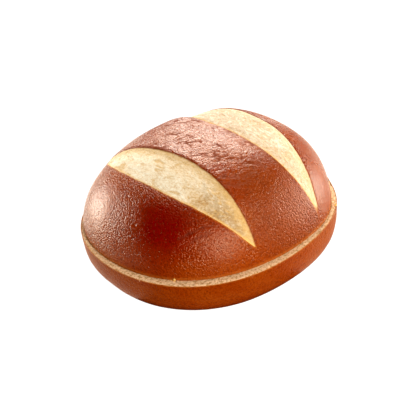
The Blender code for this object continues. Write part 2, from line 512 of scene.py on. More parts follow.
# %% The crust finish
def crust_finish():
    crust = Finish("pretzel crust")
    cloud = crust.noise(14 * MM, detail=3.0)
    mottle = crust.noise(2.5 * MM, detail=4.0)
    speckle = crust.noise(0.8 * MM, detail=3.0, roughness=0.6)
    pimple = crust.cells(0.75 * MM, 0.25)

    # Where each kind of skin lies
    # The maroon shoulder: partly the hardest bake, partly painted shade where it faces away from the
    # lights
    shoulder = crust.distance(BAKED_AND_SHADED_SHOULDER) + (cloud - 0.5) * 0.014
    baked_and_shaded = crust.fall(shoulder, 0.003, 0.018)
    deep = crust.fall(shoulder, 0.010, 0.036)
    russet = crust.fall(crust.distance(RUSSET_FRONT), 0.014, 0.032)
    calm = crust.fall(crust.distance(CALM_FRONT), 0.012, 0.024)
    # The leathery left flank, whose colour is partly painted light from the left
    flank = crust.distance(LEATHERY_LIT_FLANK) + (cloud - 0.5) * 0.012
    leathery_lit_flank = crust.fall(flank, 0.010, 0.030)
    low = crust.fall(crust.up() + (cloud - 0.5) * 0.008, 0.018, 0.034)
    # The lowest band of the rim, which gets a golden tone that is partly painted light
    golden_lit_rim = crust.fall(crust.up(), CUT + 0.3 * MM, CUT + 1.8 * MM)
    lip = crust.fall(crust.attribute("lip_gap"), 0.0004, 0.0011)
    edge = crust.fall(crust.attribute("edge_gap"), 0.0001, 0.0005)

    # Wrinkles, where the skin dried, and the creases of the mesh
    dry = crust.attribute("dry")
    crease = crust.attribute("crease")
    run = crust.turned(math.atan2(WRINKLE_SLANT[1], WRINKLE_SLANT[0]), (3.0, 1.0, 1.0))
    drawn_out = crust.noise(1.2 * MM, detail=2.0, place=run, warp=0.5)
    fine_lines = crust.line(drawn_out - 0.5, 0.008, 0.035)
    folds = crust.line(crust.attribute("fold"), 0.04, 0.12)
    lines = crust.maths("MAXIMUM", folds, fine_lines * 0.6) * dry
    cracks = crust.maths("MAXIMUM", crease, lines)

    # The browns, one over the other
    patches = crust.share(cloud + (mottle - 0.5) * 0.4, 0.35, 0.65)
    colour = crust.mix(patches, CHESTNUT, ORANGE_BROWN)
    colour = crust.mix(low * 0.6, colour, ORANGE_BROWN)
    # Partly its own colour and partly painted light on the left flank
    colour = crust.mix(leathery_lit_flank * 0.8, colour, MAHOGANY)
    colour = crust.mix(russet * 0.8, colour, RUSSET)
    # Deep red and maroon round the shoulder, partly bake and partly painted shade
    colour = crust.mix(deep * 0.75, colour, DEEP_RED)
    worn = crust.share(speckle, 0.45, 0.60)
    colour = crust.mix(baked_and_shaded * (1 - 0.4 * worn), colour, MAROON)
    colour = crust.mix(lip * 0.7, colour, LIP_BROWN)
    colour = crust.mix(edge * (1 - lip), colour, LIP_GOLD)

    # Painted shade darkens the crevices between the pimples, the wrinkles and the creases, and
    # the speckle adds a darker random tone. The rim is paler where it meets the cut, partly its
    # own golden tone and partly painted light.
    leathery = 0.30 + 0.30 * leathery_lit_flank - 0.10 * calm
    colour = crust.shaded(crust.share(pimple, 0.35, 0.70) * leathery, colour, CREVICE_SHADE_AND_SPECKLE)
    colour = crust.shaded(
        crust.share(speckle, 0.48, 0.66) * (0.50 - 0.20 * dry), colour, CREVICE_SHADE_AND_SPECKLE
    )
    # Painted shade along the wrinkle lines
    colour = crust.mix(lines * 0.8, colour, WRINKLE_SHADE)
    colour = crust.shaded(crease * 0.8, colour, CREVICE_SHADE_AND_SPECKLE)
    colour = crust.mix(golden_lit_rim * 0.45, colour, RIM_GOLD_AND_PAINTED_LIGHT)

    # The fine relief, and the gloss that goes with it
    rough_skin = 1.1 - 0.30 * baked_and_shaded - 0.30 * calm - 0.45 * dry + 0.50 * russet - 0.08 * leathery_lit_flank
    for centre, inner, outer, keep in SMOOTH_PLACES:
        away = crust.share(crust.distance(centre), inner, outer)
        rough_skin = rough_skin * (keep + (1 - keep) * away)
    grain = crust.noise(0.42 * MM, detail=2.0) * GRAIN_HEIGHT
    dimples = pimple ** 2 * (1 - 0.4 * calm) * PIMPLE_DEPTH
    wrinkles = crust.noise(1.0 * MM, detail=3.0, place=run) * WRINKLE_HEIGHT
    bump = (grain - dimples) * rough_skin + (wrinkles - fine_lines * LINE_DEPTH) * dry
    rough = 0.40 + 0.08 * mottle - 0.20 * rough_skin + 0.50 * cracks - 0.03 * leathery_lit_flank
    return crust.surface(
        colour, rough, bump, IOR=1.45, Specular_IOR_Level=0.43, Specular_Tint=(1, 0.79, 0.60, 1)
    )


CRUST = crust_finish()

# %% [markdown]
# ## The crumb finish
#
# Where a slash opened, the crumb swelled and dried: pale cream, streaked along the
# slash, with small pits, a golden line along the near edge and a toasted one along the far
# edge. Its pits and dents are darkened with painted shade. It is tan in its hollows; under
# the lip the tan is partly toasting and partly painted shade. The left slash is sandy
# towards the front. The same crumb shows on the cut faces, where it is duller and full of pores.

# %% The slash crumb finish
CREAM = (0.82, 0.71, 0.55, 1)
SUNLIT_CREAM = (0.70, 0.55, 0.41, 1)
FLOUR = (0.92, 0.86, 0.75, 1)
SAND = (0.36, 0.215, 0.085, 1)
# The tan of the hollows, and of the wall under the lip, where it is partly painted shade
TAN_AND_WALL_SHADE = (0.66, 0.43, 0.18, 1)
GOLDEN = (0.80, 0.50, 0.18, 1)
TOAST = (0.32, 0.12, 0.03, 1)
TIP_BROWN = (0.26, 0.045, 0.006, 1)
# The tint for painted shade in pits and dents, and for the darker tone of the fibres
PIT_SHADE_AND_FIBRE_TONE = (0.82, 0.65, 0.43, 1)          # what a pit leaves of the colour round it


def slash_crumb_finish(name, cream, wall_shade_strength, sandy_end):
    crumb = Finish(name)
    run = crumb.turned(0, (1.0, 2.2, 1.0))
    streaks = crumb.noise(1.3 * MM, detail=5.0, roughness=0.65, place=run, warp=0.4)
    fibres = crumb.noise(0.50 * MM, detail=3.0, roughness=0.6, place=run, warp=0.3)
    hollows = crumb.noise(3.0 * MM, detail=4.0, roughness=0.6, place=run, warp=0.6)
    blotches = crumb.noise(5 * MM, detail=3.0)
    near = crumb.attribute("near_gap")
    far = crumb.attribute("far_gap")
    along = crumb.attribute("along")
    dent_shade = crumb.attribute("dent_shade")

    # Cream, sandy at the front, with floury streaks, and a tan wall under the lip that is
    # partly toasted and partly painted shade
    sandy = crumb.fall(along + (blotches - 0.5) * 0.02, -0.038, -0.010)
    colour = crumb.mix(sandy * sandy_end, cream, SAND)
    floury = crumb.share(streaks, 0.46, 0.62) * (0.65 - 0.40 * sandy)
    colour = crumb.mix(floury, colour, FLOUR)
    tan = crumb.share(hollows, 0.50, 0.68)
    colour = crumb.mix(tan * (0.25 + 0.5 * sandy_end), colour, TAN_AND_WALL_SHADE)
    # The wall under the lip: partly toasted, partly painted shade
    wall = crumb.fall(far + (hollows - 0.5) * 0.010, 0.0008, 0.0048)
    colour = crumb.mix(wall * wall_shade_strength, colour, TAN_AND_WALL_SHADE)

    # Painted shade darkens the pits and the dents; the fibres are a darker tone
    pits = crumb.fall(crumb.cells(2.3 * MM, 0.2), 0.04, 0.14)
    colour = crumb.shaded(pits * 0.7, colour, PIT_SHADE_AND_FIBRE_TONE)
    colour = crumb.shaded(dent_shade * (0.3 + 0.8 * streaks), colour, PIT_SHADE_AND_FIBRE_TONE)
    fibrous = crumb.share(fibres, 0.48, 0.62) * (0.55 + 0.4 * dent_shade)
    colour = crumb.shaded(fibrous, colour, PIT_SHADE_AND_FIBRE_TONE)

    # The toasted lines along the edges, and the front tip
    near_toast = crumb.fall(near + (streaks - 0.5) * 0.0012, 0.0001, 0.0010)
    colour = crumb.mix(near_toast * 0.70, colour, GOLDEN)
    far_toast = crumb.fall(far + (streaks - 0.5) * 0.0010, 0.0, 0.0007)
    colour = crumb.mix(far_toast * 0.90, colour, TOAST)
    colour = crumb.mix(crumb.fall(along, -0.0462, -0.0446), colour, TIP_BROWN)

    bump = fibres * 0.00020 + streaks * 0.00035 - tan * 0.0002 - pits * 0.00025
    return crumb.surface(colour, 0.75, bump, IOR=1.40, Specular_IOR_Level=0.15)


LEFT_CRUMB = slash_crumb_finish("left slash crumb", CREAM, 0.65, 0.9)
RIGHT_CRUMB = slash_crumb_finish("right slash crumb", SUNLIT_CREAM, 0.35, 0.2)

# %% The cut crumb finish
CUT_PALE = (0.79, 0.55, 0.36, 1)
CUT_DARK = (0.46, 0.25, 0.11, 1)
CRUST_BROWN = (0.40, 0.10, 0.015, 1)


def cut_crumb_finish(name, dark, pale):
    crumb = Finish(name)
    mottle = crumb.noise(1.1 * MM, detail=4.0, roughness=0.6)
    fibres = crumb.noise(0.5 * MM, detail=3.0)
    colour = crumb.mix(crumb.share(mottle, 0.34, 0.56), dark, pale)
    colour = crumb.shaded(crumb.share(fibres, 0.50, 0.70) * 0.35, colour, PIT_SHADE_AND_FIBRE_TONE)
    bump = fibres * 0.00025 + mottle * 0.0004
    return crumb.surface(colour, 0.85, bump, IOR=1.40, Specular_IOR_Level=0.2)


CUT_CRUMB = cut_crumb_finish("cut crumb", CUT_DARK, CUT_PALE)
TOASTED_CRUMB = cut_crumb_finish("toasted crumb", CRUST_BROWN, GOLDEN)

# %% [markdown]
# ## The heel finish
#
# The heel baked against the tray, away from the top heat, so it is plainer and more
# orange than the crown. Painted light turns it golden away from its front corner, which
# is left in painted shade, and it darkens towards the sole. Its noises are stretched
# sideways, for bands that run round.

# %% The heel finish
HEEL_ORANGE = (0.28, 0.055, 0.005, 1)
HEEL_BROWN = (0.24, 0.036, 0.002, 1)
# The golden tone of painted light on the heel
HEEL_LIT_GOLD = (0.35, 0.105, 0.012, 1)
SOLE_BROWN = (0.20, 0.030, 0.003, 1)
CUT_EDGE = (0.50, 0.19, 0.050, 1)
# The front corner of the heel, left in painted shade; the painted light grows away from it
HEEL_SHADED_CORNER = (-0.032, -0.038, 0.008)


def heel_finish():
    heel = Finish("heel crust")
    run = heel.turned(0, (3.0, 3.0, 1.0))
    cloud = heel.noise(6 * MM, detail=3.0, place=run)
    mottle = heel.noise(1.2 * MM, detail=4.0, place=run)
    speckle = heel.noise(0.7 * MM, detail=3.0, roughness=0.6)
    bands = heel.share(cloud + (mottle - 0.5) * 0.5, 0.20, 0.80)
    colour = heel.mix(bands, HEEL_BROWN, HEEL_ORANGE)
    # Painted light: the heel turns golden away from its shaded front corner
    away = heel.share(heel.distance(HEEL_SHADED_CORNER) + (cloud - 0.5) * 0.02, 0.025, 0.095)
    colour = heel.mix(away * 0.5, colour, HEEL_LIT_GOLD)
    sole = heel.fall(heel.up() + (cloud - 0.5) * 0.004, 0.0005, 0.005)
    colour = heel.mix(sole, colour, SOLE_BROWN)
    colour = heel.shaded(heel.share(speckle, 0.46, 0.66) * 0.55, colour, CREVICE_SHADE_AND_SPECKLE)
    level = heel.up() + (speckle - 0.5) * 0.0010
    rim = heel.share(level, HEEL_HEIGHT - 0.5 * MM, HEEL_HEIGHT - 0.1 * MM)
    colour = heel.mix(rim, colour, CUT_EDGE)
    grain = heel.noise(0.6 * MM, detail=3.0) * 0.00016
    dimples = heel.cells(1.0 * MM, 0.3) ** 2 * 0.00020
    return heel.surface(
        colour, 0.38 + 0.12 * mottle, grain - dimples, IOR=1.45, Specular_IOR_Level=0.15,
        Specular_Tint=(1, 0.6, 0.3, 1),
    )


HEEL_CRUST = heel_finish()

# %% [markdown]
# ## The crown's crust
#
# The crust starts as a flat square net that is bent into a disc. In each row the points
# nearest to a slash slide onto its edges, and the squares between them are deleted, which
# leaves two clean openings. Cutting with a boolean would leave slivers there.

# %% The net of the crown
CROWN_CELLS = 296


def square_to_disc(u, v):
    """Bends a square of side 2 into the unit disc, so that its rows keep their run."""
    return u * math.sqrt(1 - v * v / 2), v * math.sqrt(1 - u * u / 2)


def crown_drawing(u, v):
    """Where a point of the square net lies on the flat drawing of the crown."""
    p, q = square_to_disc(u, v)
    radius = math.hypot(p, q)
    spread = math.sin(min(radius, 1.0) * math.pi / 2) / radius if radius > 0 else 0.0
    return p * spread * HALF_LENGTH, q * spread * HALF_WIDTH


def rows_of(mesh):
    """The inner points of the net, row by row."""
    rows = {}
    for v in mesh.verts:
        if not v.is_boundary:
            rows.setdefault(round(v.co.y, 5), []).append(v)
    return rows.values()


def slide_onto_edges(rows):
    """In each row the point nearest to a slash's edge slides onto it, for a clean line."""
    on_edge = set()
    for row in rows:
        for slash in SLASHES:
            for side in (0, 1):
                gaps = [abs(slash_edges(slash, v.co.y)[side] - v.co.x) for v in row]
                nearest = row[gaps.index(min(gaps))]
                edges = slash_edges(slash, nearest.co.y)
                if edges[2] > 0:
                    nearest.co.x = edges[side]
                    on_edge.add(nearest)
    return on_edge


def split_along_edges(mesh, on_edge):
    """A square with two opposite corners on a slash's edge is split along the edge."""
    for face in list(mesh.faces):
        corners = list(face.verts)
        marks = [v in on_edge for v in corners]
        if len(corners) == 4 and marks in ([True, False] * 2, [False, True] * 2):
            first = marks.index(True)
            bmesh.utils.face_split(face, corners[first], corners[first + 2])


def cut_net():
    """The flat net of the crust, with both slashes cut out of it."""
    mesh = bmesh.new()
    bmesh.ops.create_grid(mesh, x_segments=CROWN_CELLS, y_segments=CROWN_CELLS, size=1)
    rows = rows_of(mesh)
    for v in mesh.verts:
        v.co = (*crown_drawing(v.co.x, v.co.y), 0)
    split_along_edges(mesh, slide_onto_edges(rows))
    lenses = [f for f in mesh.faces if in_a_slash(*f.calc_center_median().xy)]
    bmesh.ops.delete(mesh, geom=lenses, context="FACES")
    print("faces in the cut net:", len(mesh.faces))
    return mesh


crown_net = cut_net()

# %% [markdown]
# ## Lifting the net
#
# Each point of the net remembers its place on the drawing and how far it is from the
# slashes. These numbers stay with the mesh as attributes, so the finish can follow the
# edges. Then the net is lifted onto the dome.

# %% Lift the net onto the dome
AT_CUT = 0.1 * MM         # a point this close to a cut face is on it


def lip_gap(x, y):
    """How far a place is behind the far edge of a slash."""
    gap = 1.0
    for slash in SLASHES:
        _, far, opened = slash_edges(slash, y)
        if opened > 0 and x > far - 0.3 * MM:
            gap = min(gap, abs(x - far))
    return gap


def slash_gap(x, y):
    """How far the nearest slash is, and its near edge, far edge and opening there."""
    found = []
    for slash in SLASHES:
        near, far, opened = slash_edges(slash, y)
        beyond = max(0.0, abs(y - slash[1]) - SLASH_HALF_LENGTH)
        found.append((min(abs(x - near), abs(x - far)) + beyond, near, far, opened))
    return min(found, key=lambda entry: entry[0])


def lift_net(mesh):
    for name in ("drawn_x", "drawn_y", "edge_gap", "lip_gap", "crease", "dry", "fold"):
        mesh.verts.layers.float.new(name)
    numbers = mesh.verts.layers.float
    drawn_x, drawn_y = numbers["drawn_x"], numbers["drawn_y"]
    edge_gap, behind_lip = numbers["edge_gap"], numbers["lip_gap"]
    for v in mesh.verts:
        x, y = v.co.xy
        v[drawn_x], v[drawn_y] = x, y
        v[edge_gap] = slash_gap(x, y)[0]
        v[behind_lip] = lip_gap(x, y)
        v.co = dome_point(x, y, sum(crust_step(slash, x, y) for slash in SLASHES))
    mesh.normal_update()


def open_rings(mesh):
    """The open edges round both slashes, and those round the rim."""
    openings = []
    rim = []
    for edge in mesh.edges:
        if edge.is_boundary:
            at_rim = max(v.co.z for v in edge.verts) < CUT + AT_CUT
            ring = rim if at_rim else openings
            ring.append(edge)
    return openings, rim


lift_net(crown_net)
slash_rings, crown_rim = open_rings(crown_net)
print("open edges:", len(slash_rings), "round the slashes,", len(crown_rim), "round the rim")

# %% [markdown]
# ## The skin's relief
#
# A smooth dome looks like plastic. The real skin has broad swells, fine wrinkles on top
# where it dried first, and pimples on the flanks. The larger ones are moved in the mesh
# here, along the normals, and the finest are left to the bump in the finish.

# %% Swells and pimples
SWELLS = ((0.22 * MM, 17 * MM), (0.05 * MM, 7 * MM))     # height and width
RIM_KEPT = 3 * MM         # the relief starts at the cut and is full this far above it
PIMPLE_HEIGHT = 0.05 * MM


def fade(value, low, high):
    """0 below low, 1 above high, and smooth between."""
    share = min(1.0, max(0.0, (value - low) / (high - low)))
    return share * share * (3 - 2 * share)


def swell(point):
    """The broad unevenness that crust and crumb share."""
    broad = sum(height * noise.noise(point / width) for height, width in SWELLS)
    return broad * fade(point.z, CUT, CUT + RIM_KEPT)


def pimple(point):
    fine = noise.noise(point / (1.2 * MM)) + 0.5 * noise.noise(point / (0.8 * MM))
    return PIMPLE_HEIGHT * fine * fade(point.z, CUT, CUT + RIM_KEPT)


print("a pimple on top:", round(pimple(Vector((0, 0, 50 * MM))) / MM, 3), "mm")

# %% [markdown]
# ## Creases and wrinkles
#
# A crease is one long line, so each is given by its two ends. Wrinkles are many, and a
# stretched noise draws them: a wrinkle lies where the noise passes zero. Over the front
# of the top the drying skin was pushed together into coarser ripples.

# %% Creases and wrinkles
# Long faint creases over the front shoulder: two ends on the drawing, and how deep
CREASES = (
    ((-40.4 * MM, -23.9 * MM), (-27.1 * MM, -31.9 * MM), 0.8),
    ((-38.2 * MM, -27.4 * MM), (-29.0 * MM, -33.2 * MM), 0.5),
    ((-36.0 * MM, -22.6 * MM), (-28.4 * MM, -28.2 * MM), 0.5),
)
CREASE_WIDTH = 0.45 * MM
CREASE_WANDER = 0.5 * MM
WRINKLE_RUN = Vector((*WRINKLE_SLANT, 0)).normalized()
WRINKLE_CROSS = Vector((-WRINKLE_SLANT[1], WRINKLE_SLANT[0], 0)).normalized()
DRY_FROM = 39.5 * MM      # the skin wrinkles above this height,
DRY_FULL = 47.5 * MM      # and most above this one
FOLD_SLOPE = 0.30
FURROW_DEPTH = 0.13 * MM
RIPPLE_PLACE = Vector((-5.5, -23.5, 47.5)) * MM
RIPPLE_RUN = Vector((0.932, -0.363, 0))
RIPPLE_CROSS = Vector((0.363, 0.932, 0))
RIPPLE_HEIGHT = 0.34 * MM
RIPPLE_REACH = 11 * MM


def crease(x, y):
    """1 in the middle of a crease, 0 away from it."""
    deepest = 0.0
    wander = CREASE_WANDER * noise.noise(Vector((x, y, 0)) / (3 * MM))
    for start, end, strength in CREASES:
        run = Vector(end) - Vector(start)
        off = Vector((x, y)) - Vector(start)
        share = off.dot(run) / run.length_squared
        if 0 < share < 1:
            aside = off.cross(run.normalized()) + wander
            line = max(0.0, 1 - abs(aside) / CREASE_WIDTH)
            deepest = max(deepest, strength * line * math.sin(math.pi * share) ** 0.5)
    return deepest


def dried(point):
    """How much the skin wrinkled as it dried: on top only, and in patches."""
    patch = fade(noise.noise(point / (8 * MM) + Vector((3, 0, 0))), -0.35, 0.25)
    return fade(point.z, DRY_FROM, DRY_FULL) * (0.25 + 0.75 * patch)


def wrinkle_fold(point):
    """A noise drawn out along the wrinkles; one lies where it passes zero."""
    bent = point.dot(WRINKLE_CROSS) + 0.9 * MM * noise.noise(point / (3.5 * MM))
    return noise.noise(Vector((point.dot(WRINKLE_RUN) / (5.0 * MM), bent / (2.0 * MM), 0)))


def ripple(point):
    bent = point.dot(RIPPLE_CROSS) + 0.6 * MM * noise.noise(point / (3 * MM))
    waves = noise.noise(Vector((point.dot(RIPPLE_RUN) / (5 * MM), bent / (1.4 * MM), 4)))
    away = (point - RIPPLE_PLACE).length / RIPPLE_REACH
    return RIPPLE_HEIGHT * waves * math.exp(-away ** 2)


def relieve_skin(mesh):
    """Moves the skin along its normals, and keeps where it creased and dried."""
    numbers = mesh.verts.layers.float
    drawn_x, drawn_y = numbers["drawn_x"], numbers["drawn_y"]
    creased, dry, fold = numbers["crease"], numbers["dry"], numbers["fold"]
    for v in mesh.verts:
        v[creased] = crease(v[drawn_x], v[drawn_y])
        v[dry] = dried(v.co)
        v[fold] = wrinkle_fold(v.co)
        furrow = max(v[creased], v[dry] * max(0.0, 1 - abs(v[fold]) / FOLD_SLOPE))
        v.co += v.normal * (swell(v.co) + pimple(v.co) + ripple(v.co) - FURROW_DEPTH * furrow)


relieve_skin(crown_net)
print("the skin now reaches up to", round(max(v.co.z for v in crown_net.verts) / MM, 1), "mm")

# %% [markdown]
# ## The edges of the crust
#
# A crust that ends in an open edge looks like paper. So each opening is extruded ring by
# ring: over the opening, down and under, which gives a rounded, solid edge. The rim turns in
# along the cut and up inside. Both are closed where nobody looks.

# %% Roll the edges and finish the crust
# For each ring: how far it moves over the opening, and how far down
NEAR_ROLL = ((0.10 * MM, 0.04 * MM), (0.08 * MM, 0.14 * MM), (0.0, 1.6 * MM))
FAR_ROLL = (
    (0.12 * MM, 0.06 * MM), (0.08 * MM, 0.14 * MM), (-0.25 * MM, 0.25 * MM), (0.0, 1.6 * MM),
)
# For each ring of the rim: how far it moves in, and how far up
RIM_TURNS = ((0.5 * MM, 0.0), (0.0, 1.4 * MM))


def new_points(made):
    """The points that an extrusion made."""
    return [part for part in made["geom"] if isinstance(part, bmesh.types.BMVert)]


def ring_of(points):
    """The edges between a ring's points."""
    known = set(points)
    edges = (e for v in points for e in v.link_edges if e.other_vert(v) in known)
    return list(dict.fromkeys(edges))


def roll_slash_edges(mesh, openings):
    numbers = mesh.verts.layers.float
    drawn_x, drawn_y = numbers["drawn_x"], numbers["drawn_y"]
    for step in range(len(FAR_ROLL)):
        fresh = new_points(bmesh.ops.extrude_edge_only(mesh, edges=openings))
        for v in fresh:
            x, y = v[drawn_x], v[drawn_y]
            _, near, far, opened = slash_gap(x, y)
            is_near = abs(x - near) < abs(x - far)
            roll = NEAR_ROLL if is_near else FAR_ROLL
            if step < len(roll):
                inward, down = roll[step]
                inward *= clear_of_tips(opened) * (1 if is_near else -1)
                across, out = dome_frame(x, y)
                v.co += across * inward - out * down
        openings = ring_of(fresh)
    bmesh.ops.holes_fill(mesh, edges=openings, sides=0)


def turn_rim_in(mesh, rim):
    for inset, rise in RIM_TURNS:
        fresh = new_points(bmesh.ops.extrude_edge_only(mesh, edges=rim))
        for v in fresh:
            centre = Vector((*CROWN_OFFSET, v.co.z))
            v.co += (centre - v.co).normalized() * inset + Vector((0, 0, rise))
        rim = ring_of(fresh)
    bmesh.ops.holes_fill(mesh, edges=rim, sides=0)


def finish_crown_crust(mesh, openings, rim):
    roll_slash_edges(mesh, openings)
    turn_rim_in(mesh, rim)
    bmesh.ops.remove_doubles(mesh, verts=mesh.verts, dist=WELD)
    bmesh.ops.recalc_face_normals(mesh, faces=mesh.faces)
    print("open edges left:", sum(e.is_boundary for e in mesh.edges))
    finished_piece(mesh, "crown_crust", CRUST, "crown")


finish_crown_crust(crown_net, slash_rings, crown_rim)

# %% [markdown]
# ## The crumb in the slashes
#
# The crumb swells between the edges, tucks under the crust on both sides and climbs a
# steep wall to the lip. It is a strip of its own, whose rows run from edge to edge, so
# streaks and toasted lines follow the slash.

# %% The shape of the crumb
SLASH_BULGE = 1.1 * MM
TUCK = 0.8 * MM
CRUST_THICKNESS = 0.22 * MM
WALL_CURVE = 1.4          # 1 is a straight wall, more is hollow
LIP_GROOVE = 0.45 * MM    # the crumb draws back a little right under the lip
GROOVE_REACH = 1.1 * MM
SHUT = 1e-6               # a slash narrower than this is closed
# Where the crumb sank while it dried: place on the drawing, reach across and along, depth
DENTS = (
    (-26.5 * MM, -22.0 * MM, 2.6 * MM, 6.5 * MM, 0.50 * MM),
    (-22.5 * MM, -6.0 * MM, 2.2 * MM, 8.0 * MM, 0.30 * MM),
    (21.0 * MM, -6.0 * MM, 2.0 * MM, 5.0 * MM, 0.25 * MM),
)
DEEPEST_DENT = max(depth for *_, depth in DENTS)
STREAK_SIZE = (2.0 * MM, 7 * MM, 4 * MM)
STREAK_HEIGHT = 0.16 * MM
PORE_SIZE = 1.1 * MM
PORE_DEPTH = 0.10 * MM


def crumb_step(slash, x, y):
    """How far the crumb stands above or below the smooth dome."""
    near, far, opened = slash_edges(slash, y)
    lip, _, wall_width = lip_of(slash)
    if x <= near or x >= far or far - near < SHUT:
        hidden = max(near - x, x - far, 0.0)
        return crust_step(slash, x, y) - CRUST_THICKNESS - hidden
    across = (x - near) / (far - near)
    swollen = SLASH_BULGE * 4 * across * (1 - across)
    wall = lip * max(0.0, 1 - (far - x) / min(wall_width, far - near)) ** WALL_CURVE
    groove = LIP_GROOVE * math.exp((x - far) / GROOVE_REACH)
    return (swollen + wall - groove - SLASH_SINK * (1 - across)) * opened - CRUST_THICKNESS


def dent(x, y):
    return sum(
        depth * math.exp(-((x - at_x) / across) ** 2 - ((y - at_y) / along) ** 2)
        for at_x, at_y, across, along, depth in DENTS
    )


def crumb_relief(point, x, y):
    run = Vector([value / size for value, size in zip(point, STREAK_SIZE)])
    streak = STREAK_HEIGHT * noise.noise(run)
    pore = PORE_DEPTH * noise.noise(point / PORE_SIZE)
    return streak + pore - dent(x, y)


print("the deepest dent in the crumb:", round(DEEPEST_DENT / MM, 2), "mm")

# %% Build the crumb in the slashes
CELLS_ACROSS = 46
CELLS_ALONG = 250
TIP_SPARE = 0.5 * MM      # the strip runs on under the crust beyond each tip
RELIEF_REACH = 1.5 * MM   # the relief is full at this distance from the edges
CRUMB_DEPTH = 1.6 * MM


def build_slash_crumb(name, finish, slash, others):
    mesh = bmesh.new()
    bmesh.ops.create_grid(mesh, x_segments=CELLS_ACROSS, y_segments=CELLS_ALONG, size=1)
    names = ("drawn_x", "drawn_y", "near_gap", "far_gap", "along", "dent_shade")
    drawn_x, drawn_y, near_gap, far_gap, along, dent_shade = [
        mesh.verts.layers.float.new(number) for number in names
    ]
    for v in mesh.verts:
        y = slash[1] + v.co.y * (SLASH_HALF_LENGTH + TIP_SPARE)
        near, far, _ = slash_edges(slash, y)
        share = (v.co.x + 1) / 2
        x = near - TUCK + (far - near + 2 * TUCK) * share
        v[drawn_x], v[drawn_y] = x, y
        v[near_gap] = x - near
        v[far_gap] = far - x
        v[along] = y
        step = crumb_step(slash, x, y) + sum(crust_step(other, x, y) for other in others)
        v.co = dome_point(x, y, step)
    mesh.normal_update()
    for v in mesh.verts:
        inside = fade(min(v[near_gap], v[far_gap]), 0.0, RELIEF_REACH)
        # How deep the dent lies, as a share, for its painted shade in the finish
        v[dent_shade] = dent(v[drawn_x], v[drawn_y]) / DEEPEST_DENT
        v.co += v.normal * (swell(v.co) + crumb_relief(v.co, v[drawn_x], v[drawn_y]) * inside)
    border = [e for e in mesh.edges if e.is_boundary]
    fresh = new_points(bmesh.ops.extrude_edge_only(mesh, edges=border))
    for v in fresh:
        v.co += (Vector((0, 0, HEEL_HEIGHT)) - v.co).normalized() * CRUMB_DEPTH
    bmesh.ops.holes_fill(mesh, edges=ring_of(fresh), sides=0)
    bmesh.ops.recalc_face_normals(mesh, faces=mesh.faces)
    finished_piece(mesh, name, finish, "crown")


build_slash_crumb("slash_crumb_left", LEFT_CRUMB, SLASHES[0], SLASHES[1:])
build_slash_crumb("slash_crumb_right", RIGHT_CRUMB, SLASHES[1], SLASHES[:1])

# %% [markdown]
# ## The crown's cut face
#
# Under the crown lies its own cut face. Only its edge can be seen, but a crown that is
# lifted off the heel needs it. A thin disc of crumb fills the ring of crust.

# %% Build the crown's cut face
CUT_CELLS = 110
CUT_SHARE = 0.991         # how much of the crown's outline is crumb
CUT_RECESS = 0.12 * MM
CUT_PORE = 0.12 * MM
CUT_THICKNESS = 1.5 * MM


def build_crown_cut():
    mesh = bmesh.new()
    bmesh.ops.create_grid(mesh, x_segments=CUT_CELLS, y_segments=CUT_CELLS, size=1)
    for v in mesh.verts:
        x, y = crown_drawing(v.co.x, v.co.y)
        point = dome_point(x, y)
        lean = 1 - drawn_radius(x, y) ** 2
        flat_x = point.x - CROWN_LEAN[0] * lean
        flat_y = point.y - CROWN_LEAN[1] * lean
        pore = CUT_PORE * noise.noise(Vector((flat_x, flat_y, 0)) / (1.5 * MM))
        v.co = (flat_x * CUT_SHARE, flat_y * CUT_SHARE, CUT + CUT_RECESS + pore)
    for v in new_points(bmesh.ops.extrude_face_region(mesh, geom=mesh.faces)):
        v.co.z = CUT + CUT_THICKNESS
    bmesh.ops.recalc_face_normals(mesh, faces=mesh.faces)
    finished_piece(mesh, "crown_cut_face", CUT_CRUMB, "crown")


build_crown_cut()

# %% [markdown]
# ## The heel's crust
#
# The heel's crust is a shallow cup. Its profile is spun about the upright axis, and each
# point is then set on the wavy outline, because a lathe alone would make a perfect round.

# %% Build the heel's crust
HEEL_SOLE = 0.87          # width of the flat underside, as a share of the heel
HEEL_ROUNDNESS = 2.4      # 2 is a round edge, more is squarer
SOLE_WAVES = ((5, 0.006, 0.4), (7, 0.004, 2.0))
SOLE_RINGS = 12
SIDE_RINGS = 40
HEEL_STEPS = 800
HEEL_SKIN = 0.0045        # thickness of the crust at the cut, as a share of the outline
CUP_DEPTH = 1.5 * MM
CUT_WEAR = 0.10 * MM      # the knife wore the crust's edge down
HEEL_SWELL = 0.25 * MM
HEEL_GRAIN = 0.05 * MM
SWELL_SPARE = 0.12 * MM   # room for the swells inside the solid's outline


def heel_level(level):
    """Share of the outline and height at a level from 0, the sole, to 1, the cut."""
    turn = level * math.pi / 2
    rise = math.sin(turn) ** (2 / HEEL_ROUNDNESS)
    drop = math.cos(turn) ** (2 / HEEL_ROUNDNESS)
    return HEEL_SOLE + (1 - HEEL_SOLE) * rise, HEEL_HEIGHT * (1 - drop)


def spun(profile, steps):
    """Spins a profile of (share of the outline, height) about the upright axis."""
    mesh = bmesh.new()
    points = [mesh.verts.new((share, 0, height)) for share, height in profile]
    lines = [mesh.edges.new(pair) for pair in zip(points, points[1:])]
    bmesh.ops.spin(
        mesh, geom=points + lines, axis=(0, 0, 1), cent=(0, 0, 0),
        steps=steps, angle=2 * math.pi, use_merge=True,
    )
    bmesh.ops.remove_doubles(mesh, verts=mesh.verts, dist=WELD)
    return mesh


def polar(point):
    """The share of the outline and the direction of a spun point."""
    return math.hypot(point.x, point.y), math.atan2(point.y, point.x)


